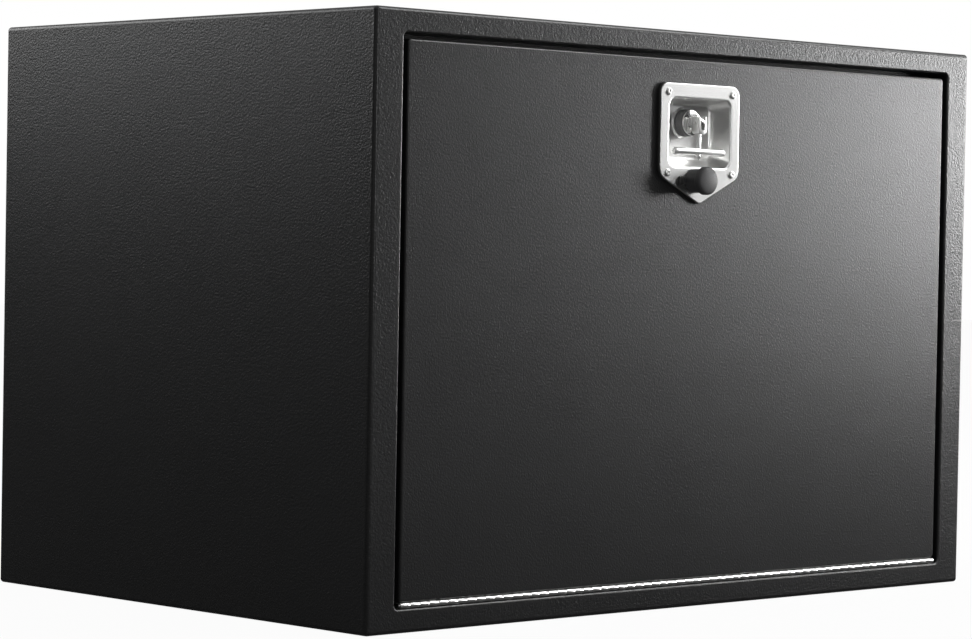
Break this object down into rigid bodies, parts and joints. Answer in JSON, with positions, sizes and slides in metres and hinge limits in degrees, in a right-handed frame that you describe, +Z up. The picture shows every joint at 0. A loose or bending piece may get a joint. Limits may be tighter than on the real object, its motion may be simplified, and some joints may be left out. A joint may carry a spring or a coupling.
{
  "type": "underbody truck tool box",
  "caption": "Black powder-coated steel tool box with a drop-down front door, continuous hinge, recessed folding T-handle latch and sliding door stays.",
  "frame": {"origin": "middle of the box's flat underside", "axes": "+X along the box, to the right of someone who faces the door; +Y from the door to the back; +Z up"},
  "size_m": [0.9144, 0.6385, 0.6096],
  "materials": {
    "black_coat": "fine textured semi-matt black powder coat",
    "stainless": "satin stainless steel",
    "polished_steel": "polished steel",
    "zinc_steel": "dull zinc plate",
    "black_rubber": "matt black rubber"
  },
  "bodies": {
    "box": {"top_panel": "black_coat", "bottom_panel": "black_coat", "back_panel": "black_coat", "left_side_panel": "black_coat", "right_side_panel": "black_coat", "front_frame": "black_coat", "door_seal": "black_rubber", "hinge_frame_leaf": "stainless", "hinge_pin": "stainless", "left_frame_bracket": "zinc_steel", "right_frame_bracket": "zinc_steel", "left_guide_stud": "zinc_steel", "right_guide_stud": "zinc_steel"},
    "door": {"door_skin": "black_coat", "left_door_stiffener": "black_coat", "right_door_stiffener": "black_coat", "hinge_door_leaf": "stainless", "latch_plate": "stainless", "latch_gasket": "black_rubber", "latch_rivet_1": "stainless", "latch_rivet_2": "stainless", "latch_rivet_3": "stainless", "latch_rivet_4": "stainless", "spindle_bushing": "black_rubber", "lock_cylinder": "stainless", "lock_nut": "zinc_steel", "cap_anchor": "black_rubber", "left_door_bracket": "zinc_steel", "right_door_bracket": "zinc_steel", "left_stay_rivet": "zinc_steel", "right_stay_rivet": "zinc_steel"},
    "spindle": {"latch_spindle": "polished_steel", "spindle_collar": "zinc_steel", "latch_pawl": "zinc_steel", "pawl_washer": "zinc_steel", "pawl_nut": "zinc_steel", "handle_pin": "stainless"},
    "handle": {"handle_yoke": "stainless", "handle_bar": "stainless"},
    "lock": {"key_plug": "stainless", "lock_cam": "zinc_steel", "cam_screw": "zinc_steel"},
    "dust_cap": {"dust_cap": "black_rubber"},
    "left_stay": {"left_stay_arm": "zinc_steel"},
    "right_stay": {"right_stay_arm": "zinc_steel"}
  },
  "joints": [
    {"name": "door_hinge", "type": "hinge", "parent": "box", "child": "door", "pos_m": [0, -0.30255, 0.02705], "axis": [1, 0, 0], "range_deg": [0, 90]},
    {"name": "spindle_turn", "type": "hinge", "parent": "door", "child": "spindle", "pos_m": [0, -0.3087, 0.514], "axis": [0, 1, 0], "range_deg": [0, 90]},
    {"name": "handle_fold", "type": "hinge", "parent": "spindle", "child": "handle", "pos_m": [0, -0.3067, 0.514], "axis": [-1, 0, 0], "range_deg": [0, 90]},
    {"name": "lock_turn", "type": "hinge", "parent": "door", "child": "lock", "pos_m": [-0.0105, -0.3087, 0.452], "axis": [0, 1, 0], "range_deg": [0, 90]},
    {"name": "cap_swing", "type": "hinge", "parent": "door", "child": "dust_cap", "pos_m": [-0.027, -0.3103, 0.452], "axis": [0, 0, -1], "range_deg": [0, 90]},
    {"name": "left_stay_pivot", "type": "hinge", "parent": "door", "child": "left_stay", "pos_m": [-0.3975, -0.26955, 0.25467], "axis": [1, 0, 0], "range_deg": [-45, 0]},
    {"name": "right_stay_pivot", "type": "hinge", "parent": "door", "child": "right_stay", "pos_m": [0.3975, -0.26955, 0.25467], "axis": [1, 0, 0], "range_deg": [-45, 0]}
  ],
  "couplings": [
    {"joint": "handle_fold", "follows": "spindle_turn", "ratio": 1},
    {"joint": "left_stay_pivot", "follows": "door_hinge", "ratio": -0.5},
    {"joint": "right_stay_pivot", "follows": "door_hinge", "ratio": -0.5}
  ]
}
